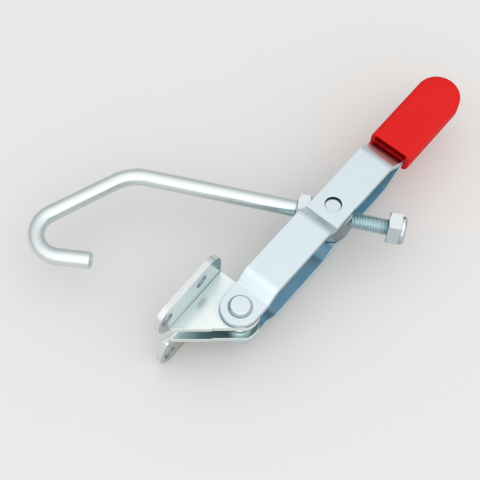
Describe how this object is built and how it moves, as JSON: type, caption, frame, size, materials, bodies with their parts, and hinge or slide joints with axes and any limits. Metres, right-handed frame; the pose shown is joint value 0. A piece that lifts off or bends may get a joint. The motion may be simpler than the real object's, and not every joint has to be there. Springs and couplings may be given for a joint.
{
  "type": "over centre toggle latch",
  "caption": "Heavy hook latch in zinc-plated steel: a flanged pivot base, a bowed lever with a vinyl grip, and an adjustable J-hook that the lever draws over centre and locks.",
  "frame": {"origin": "centre of the four screw holes, on the mounting face of the two flanges", "axes": "+Z along the handle pivot, +X along the flanges towards the grip, +Y out of the mounting face"},
  "size_m": [0.1965, 0.1401, 0.0518],
  "materials": {
    "zinc_plate": "bright blue-white zinc plate over pressed sheet",
    "zinc_turned": "bright zinc plate over turned steel",
    "zinc_nut": "bright zinc plate over forged steel",
    "zinc_rod": "satin zinc plate over drawn rod",
    "red_vinyl": "smooth semi-gloss moulded vinyl",
    "nylon": "dark red nylon"
  },
  "bodies": {
    "base": {"base_bracket_upper": "zinc_plate", "base_bracket_lower": "zinc_plate", "pivot_spacer": "zinc_turned"},
    "handle": {"handle_plate_upper": "zinc_plate", "handle_plate_lower": "zinc_plate", "pivot_rivet": "zinc_turned", "grip": "red_vinyl"},
    "trunnion": {"trunnion": "zinc_turned"},
    "nuts": {"front_nut": "zinc_nut", "lock_nut": "zinc_nut", "lock_nut_insert": "nylon"},
    "hook": {"j_hook": "zinc_rod"}
  },
  "joints": [
    {"name": "handle_pivot", "type": "hinge", "parent": "base", "child": "handle", "pos_m": [0.0157, -0.0212, 0], "axis": [0, 0, 1], "range_deg": [-190, 36]},
    {"name": "hook_swing", "type": "hinge", "parent": "handle", "child": "trunnion", "pos_m": [0.08228, -0.02283, 0], "axis": [0, 0, 1], "range_deg": [-95, 54]},
    {"name": "rod_slide", "type": "slide", "parent": "trunnion", "child": "nuts", "axis": [-0.4321, 0.9018, 0], "range_m": [0, 0.016]},
    {"name": "hook_turn", "type": "hinge", "parent": "nuts", "child": "hook", "pos_m": [0.08228, -0.02283, 0], "axis": [-0.4321, 0.9018, 0], "continuous": true}
  ]
}
